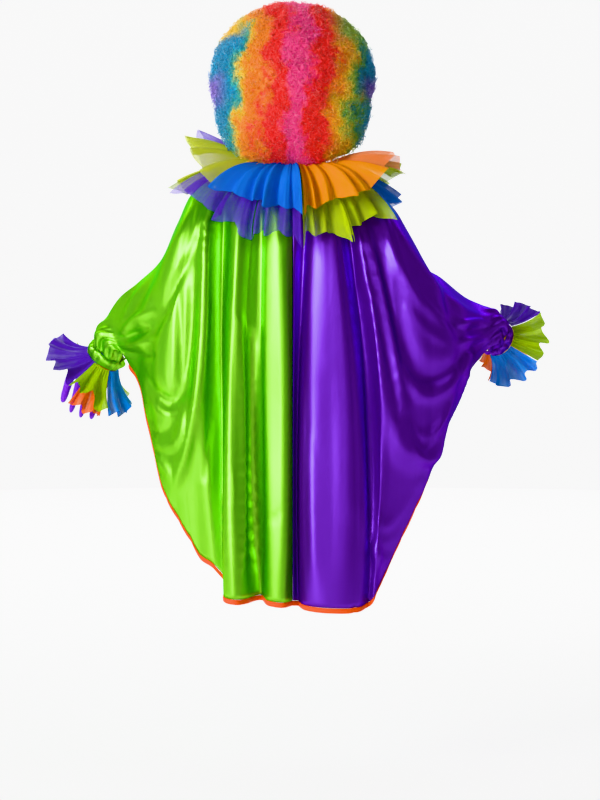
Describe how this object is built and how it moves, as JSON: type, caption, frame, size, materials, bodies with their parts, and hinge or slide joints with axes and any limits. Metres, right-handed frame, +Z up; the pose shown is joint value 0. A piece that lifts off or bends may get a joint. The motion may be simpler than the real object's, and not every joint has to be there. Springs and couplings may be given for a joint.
{
  "type": "clown costume",
  "caption": "Clown costume in two halves of satin: a wide poncho with a taped hem, a layered net ruff and cuffs, gloves and a round curly wig.",
  "frame": {"origin": "middle of the neck opening, where the wearer's shoulders carry the poncho", "axes": "+Z up, +Y the way the wearer faces, +X towards the wearer's right hand"},
  "size_m": [1.2181, 0.4992, 1.4389],
  "materials": {
    "blue_net": "stiff net",
    "lime_net": "stiff net",
    "lime_satin": "glossy satin",
    "orange_net": "stiff net",
    "orange_tape": "folded satin tape",
    "peach_net": "stiff net",
    "purple_knit": "stretch knit",
    "purple_net": "stiff net",
    "purple_satin": "glossy satin",
    "wig_hair": "curly fibre in bands of colour",
    "wig_net": "elastic net",
    "yellow_knit": "stretch knit",
    "yellow_net": "stiff net"
  },
  "bodies": {
    "root": {"cuff_band_left": "lime_satin", "cuff_band_right": "purple_satin", "cuff_net_left_blue": "blue_net", "cuff_net_left_lime": "lime_net", "cuff_net_left_orange": "orange_net", "cuff_net_left_purple": "purple_net", "cuff_net_left_yellow": "yellow_net", "cuff_net_right_blue": "blue_net", "cuff_net_right_lime": "lime_net", "cuff_net_right_orange": "orange_net", "cuff_net_right_purple": "purple_net", "cuff_net_right_yellow": "yellow_net", "glove_left": "purple_knit", "glove_right": "yellow_knit", "hem_binding_back": "orange_tape", "hem_binding_front": "orange_tape", "neck_band": "purple_satin", "panel_back_left": "lime_satin", "panel_back_right": "purple_satin", "panel_front_left": "lime_satin", "panel_front_right": "purple_satin", "ruff_low_blue_right": "blue_net", "ruff_low_lime_back": "lime_net", "ruff_low_lime_front": "lime_net", "ruff_low_lime_right": "lime_net", "ruff_low_orange_front": "orange_net", "ruff_low_purple_back": "purple_net", "ruff_low_purple_left": "purple_net", "ruff_low_yellow_left": "yellow_net", "ruff_top_blue_back": "blue_net", "ruff_top_blue_front": "blue_net", "ruff_top_lime_right": "lime_net", "ruff_top_orange_back": "orange_net", "ruff_top_orange_front": "orange_net", "ruff_top_peach_right": "peach_net", "ruff_top_purple_front": "purple_net", "ruff_top_purple_left": "purple_net", "ruff_top_yellow_left": "yellow_net", "wig_cap": "wig_net", "wig_hair": "wig_hair"}
  },
  "joints": []
}
